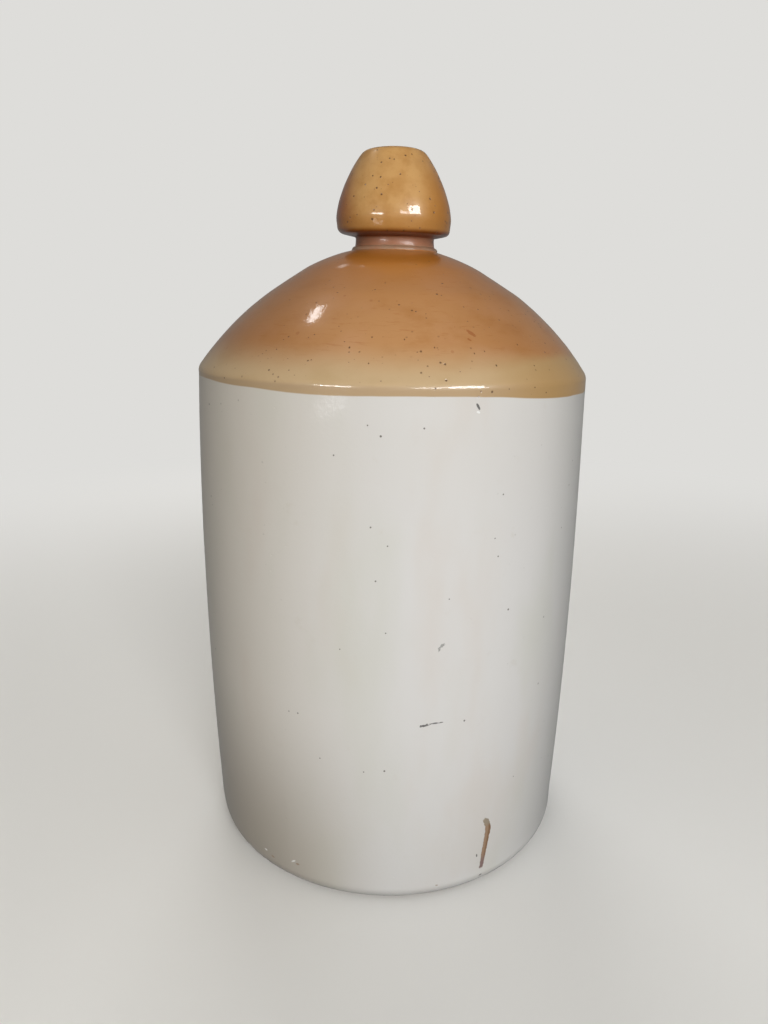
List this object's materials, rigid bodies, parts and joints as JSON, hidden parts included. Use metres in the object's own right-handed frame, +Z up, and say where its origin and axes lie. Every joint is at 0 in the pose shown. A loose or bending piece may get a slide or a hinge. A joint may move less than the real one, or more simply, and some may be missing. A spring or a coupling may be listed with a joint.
{
  "type": "stoneware ginger beer bottle",
  "caption": "Large two-tone stoneware bottle with a straight drum, a domed shoulder and a bell-shaped collar round a narrow mouth.",
  "frame": {"origin": "middle of the foot ring's plane, on the bottle's axis", "axes": "+Z up along the bottle's axis, towards the mouth; +X to the right and +Y away from the viewer, as pictured"},
  "size_m": [0.1789, 0.1788, 0.315],
  "materials": {
    "cream_and_tan_glaze": "gloss, cream on the drum and tan on the shoulder and collar"
  },
  "bodies": {
    "root": {"bottle": "cream_and_tan_glaze"}
  },
  "joints": []
}
